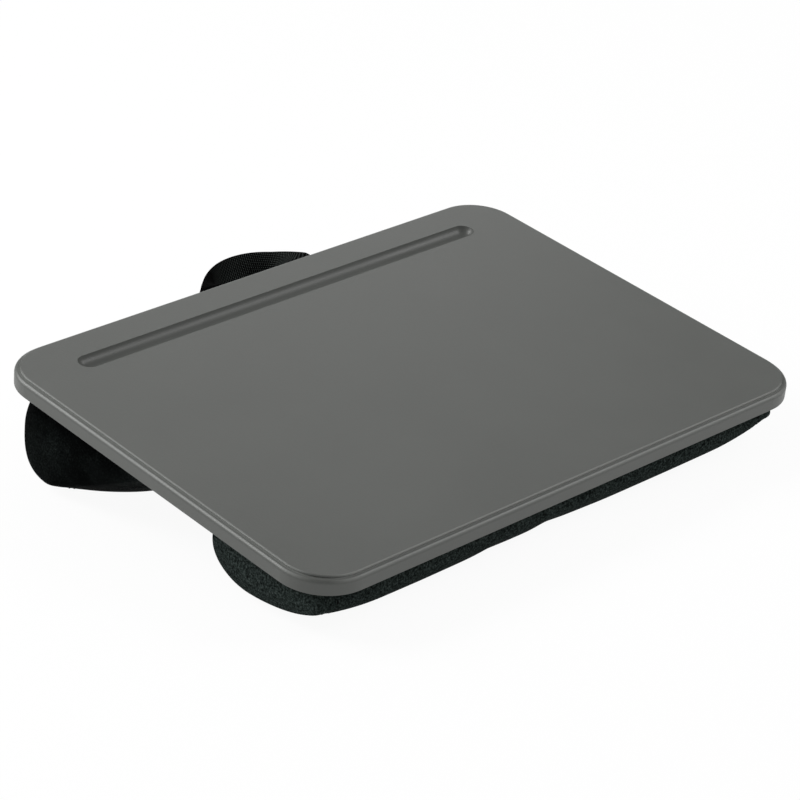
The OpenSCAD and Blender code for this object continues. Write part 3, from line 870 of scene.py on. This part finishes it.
def studio_floor():
    """A white floor, clear from below, that glows where the camera or a reflection sees it."""
    bpy.ops.object.select_all(action="DESELECT")
    bpy.ops.mesh.primitive_plane_add(size=FLOOR_SIZE, location=(0, 0, 0))
    floor = bpy.context.object
    floor.name = "studio_floor"
    made, tree = new_material("studio_floor")
    rays = add(tree, "LightPath").outputs
    seen = add(tree, "Math", {0: rays["Is Camera Ray"], 1: rays["Is Glossy Ray"]}, operation="MAXIMUM")
    lit = add(tree, "Math", {0: seen.outputs[0], 1: FLOOR_GLOW}, operation="MULTIPLY")
    paper = add(tree, "BsdfDiffuse", {"Color": linear("#fafafa")})
    glow = add(tree, "Emission", {"Color": (1, 1, 1, 1), "Strength": 1})
    shade = add(tree, "MixShader", {0: lit.outputs[0], 1: paper.outputs[0], 2: glow.outputs[0]})
    clear = add(tree, "BsdfTransparent")
    below = add(tree, "NewGeometry").outputs["Backfacing"]
    mix = add(tree, "MixShader", {0: below, 1: shade.outputs[0], 2: clear.outputs[0]})
    add(tree, "OutputMaterial", {"Surface": mix.outputs[0]})
    floor.data.materials.append(made)


def studio_world():
    """White where the camera sees it, and a weaker even fill for everything else."""
    world = bpy.data.worlds.new("studio")
    world.use_nodes = True
    tree = world.node_tree
    tree.nodes.clear()
    seen = add(tree, "LightPath").outputs["Is Camera Ray"]
    white = add(tree, "Background", {"Color": (1, 1, 1, 1), "Strength": 1})
    fill = add(tree, "Background", {"Color": (1, 1, 1, 1), "Strength": SKY_FILL})
    mix = add(tree, "MixShader", {0: seen, 1: fill.outputs[0], 2: white.outputs[0]})
    add(tree, "OutputWorld", {"Surface": mix.outputs[0]})
    bpy.context.scene.world = world


# The photograph's camera in the board's frame: turned round it, raised and rolled, in degrees, and
# its distance from the middle of the board's top face, which lands at a place in the picture in pixels
CAMERA_TURN, CAMERA_RAISE, CAMERA_ROLL = -45.465, 30.562, 6.022
CAMERA_DISTANCE = 1636.3
CAMERA_FOCUS = 2948.9
TOP_CENTRE = (408.52, 369.63)
PICTURE = 800


def camera():
    a, e, r = (math.radians(v) for v in (CAMERA_TURN, CAMERA_RAISE, CAMERA_ROLL))
    back = Vector((math.sin(a) * math.cos(e), -math.cos(a) * math.cos(e), math.sin(e)))
    level = Vector((math.cos(a), math.sin(a), 0))
    up = back.cross(level)
    right = math.cos(r) * level + math.sin(r) * up
    upright = math.cos(r) * up - math.sin(r) * level
    half = PICTURE / 2
    ray = ((TOP_CENTRE[0] - half) * right - (TOP_CENTRE[1] - half) * upright) / CAMERA_FOCUS - back
    place = -ray.normalized() * CAMERA_DISTANCE * MM
    data = bpy.data.cameras.new("camera")
    data.sensor_width = 36
    data.lens = CAMERA_FOCUS / PICTURE * data.sensor_width
    made = bpy.data.objects.new("camera", data)
    bpy.context.scene.collection.objects.link(made)
    turn = Matrix((right, upright, back)).transposed().to_4x4()
    made.matrix_world = board_frame @ Matrix.Translation(place) @ turn
    bpy.context.scene.camera = made


studio_floor()
studio_world()
for name, place, size, power in LAMPS:
    lamp(name, place, size, power)
camera()
bpy.context.scene.view_settings.view_transform = "Standard"
